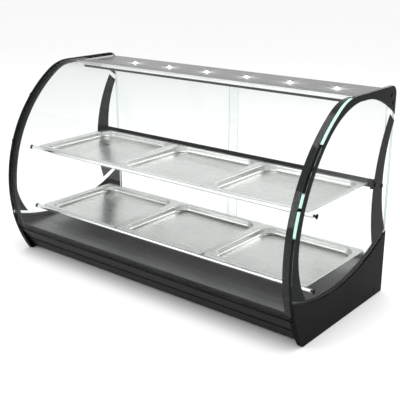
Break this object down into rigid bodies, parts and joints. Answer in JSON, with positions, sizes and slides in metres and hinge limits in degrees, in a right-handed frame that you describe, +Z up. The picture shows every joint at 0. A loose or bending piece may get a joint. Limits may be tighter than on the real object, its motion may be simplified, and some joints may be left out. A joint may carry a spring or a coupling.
{
  "type": "hot food display case",
  "caption": "Counter-top heated display case with a bent glass front, side glass, two tiers of shallow pans, lit canopy and sliding rear doors.",
  "frame": {"origin": "on the counter, under the middle of the case", "axes": "+X along the case to the customer's right, -Y towards the customer, +Y towards the operator, +Z up"},
  "size_m": [1.1236, 0.516, 0.634],
  "materials": {
    "black_plate": "satin moulded",
    "side_glass": "polished, green edge",
    "front_glass": "polished, bent",
    "black_print": "gloss enamel",
    "black_rail": "black anodised",
    "black_trim": "black anodised",
    "black_cap": "moulded",
    "galvanised_steel": "galvanised",
    "deck_steel": "satin dark coating",
    "rubber": "moulded",
    "clear_seal": "soft strip",
    "rear_steel": "satin",
    "knob_plastic": "moulded",
    "steel_shaft": "turned",
    "electrical_plastic": "moulded",
    "rocker_green": "translucent",
    "rocker_red": "translucent",
    "pilot_amber": "translucent",
    "element_steel": "heat tinted",
    "fan_plastic": "moulded",
    "bright_steel": "polished",
    "tube_plug": "moulded",
    "pan_steel": "satin, drawn",
    "roof_steel": "brushed",
    "liner_steel": "bright annealed",
    "bright_aluminium": "bright anodised",
    "lamp_metal": "satin",
    "lamp_lens": "frosted",
    "door_clear": "clear sheet",
    "ring_plastic": "moulded"
  },
  "bodies": {
    "case": {"base_supports": "galvanised_steel", "base_tray": "galvanised_steel", "canopy_brackets": "liner_steel", "canopy_front_profile": "bright_aluminium", "canopy_front_trim": "black_trim", "canopy_liner": "liner_steel", "canopy_panel": "roof_steel", "control_pocket": "rear_steel", "deck_front_strip": "deck_steel", "deck_plate": "deck_steel", "door_track_bottom": "black_trim", "door_track_top": "black_trim", "end_plate_left": "black_plate", "end_plate_right": "black_plate", "end_plate_screws": "black_cap", "fan_frames": "fan_plastic", "front_glass": "front_glass", "front_glass_bands": "black_print", "front_glass_seals": "clear_seal", "front_rail": "black_rail", "glass_cap_bolts": "black_cap", "glass_edge_clips": "black_cap", "heating_elements": "element_steel", "lamp_bodies": "lamp_metal", "lamp_driver": "electrical_plastic", "lamp_lenses": "lamp_lens", "pilot_lamp": "pilot_amber", "power_inlet": "electrical_plastic", "rear_panel": "rear_steel", "rubber_feet": "rubber", "shelf_bar_brackets": "black_trim", "shelf_bar_upper_rear": "black_trim", "shelf_tube_lower_front": "bright_steel", "shelf_tube_lower_rear": "bright_steel", "shelf_tube_upper_front": "bright_steel", "side_borders_front": "black_print", "side_borders_rear": "black_print", "side_glass_left": "side_glass", "side_glass_right": "side_glass", "switch_housings": "electrical_plastic", "terminal_block": "electrical_plastic", "thermostat_body": "electrical_plastic", "tube_plugs": "tube_plug", "wire_loom": "electrical_plastic"},
    "door_left": {"rear_door_left": "door_clear", "finger_ring_left": "ring_plastic"},
    "door_right": {"rear_door_right": "door_clear", "finger_ring_right": "ring_plastic"},
    "thermostat_dial": {"thermostat_knob": "knob_plastic", "thermostat_shaft": "steel_shaft"},
    "light_rocker": {"light_rocker": "rocker_green"},
    "power_rocker": {"power_rocker": "rocker_red"},
    "fan_rotor_left": {"fan_rotor_left": "fan_plastic"},
    "fan_rotor_right": {"fan_rotor_right": "fan_plastic"},
    "pan_upper_left": {"pan_upper_left": "pan_steel"},
    "pan_upper_centre": {"pan_upper_centre": "pan_steel"},
    "pan_upper_right": {"pan_upper_right": "pan_steel"},
    "pan_lower_left": {"pan_lower_left": "pan_steel"},
    "pan_lower_centre": {"pan_lower_centre": "pan_steel"},
    "pan_lower_right": {"pan_lower_right": "pan_steel"}
  },
  "joints": [
    {"name": "door_left_slide", "type": "slide", "parent": "case", "child": "door_left", "axis": [1, 0, 0], "range_m": [0, 0.52]},
    {"name": "door_right_slide", "type": "slide", "parent": "case", "child": "door_right", "axis": [-1, 0, 0], "range_m": [0, 0.52]},
    {"name": "thermostat_turn", "type": "hinge", "parent": "case", "child": "thermostat_dial", "pos_m": [0.39, 0.238, 0.055], "axis": [0, 1, 0], "range_deg": [0, 270]},
    {"name": "light_rocker_tilt", "type": "hinge", "parent": "case", "child": "light_rocker", "pos_m": [0.275, 0.223, 0.055], "axis": [1, 0, 0], "range_deg": [-18, 0]},
    {"name": "power_rocker_tilt", "type": "hinge", "parent": "case", "child": "power_rocker", "pos_m": [0.325, 0.223, 0.055], "axis": [1, 0, 0], "range_deg": [-18, 0]},
    {"name": "fan_left_spin", "type": "hinge", "parent": "case", "child": "fan_rotor_left", "pos_m": [-0.25, 0.108, 0.036], "axis": [0, 0, 1], "continuous": true},
    {"name": "fan_right_spin", "type": "hinge", "parent": "case", "child": "fan_rotor_right", "pos_m": [0.25, 0.108, 0.036], "axis": [0, 0, 1], "continuous": true},
    {"name": "pan_upper_left_lift", "type": "slide", "parent": "case", "child": "pan_upper_left", "axis": [0, 0, 1], "range_m": [0, 0.15]},
    {"name": "pan_upper_centre_lift", "type": "slide", "parent": "case", "child": "pan_upper_centre", "axis": [0, 0, 1], "range_m": [0, 0.15]},
    {"name": "pan_upper_right_lift", "type": "slide", "parent": "case", "child": "pan_upper_right", "axis": [0, 0, 1], "range_m": [0, 0.15]},
    {"name": "pan_lower_left_lift", "type": "slide", "parent": "case", "child": "pan_lower_left", "axis": [0, 0, 1], "range_m": [0, 0.12]},
    {"name": "pan_lower_centre_lift", "type": "slide", "parent": "case", "child": "pan_lower_centre", "axis": [0, 0, 1], "range_m": [0, 0.12]},
    {"name": "pan_lower_right_lift", "type": "slide", "parent": "case", "child": "pan_lower_right", "axis": [0, 0, 1], "range_m": [0, 0.12]}
  ]
}
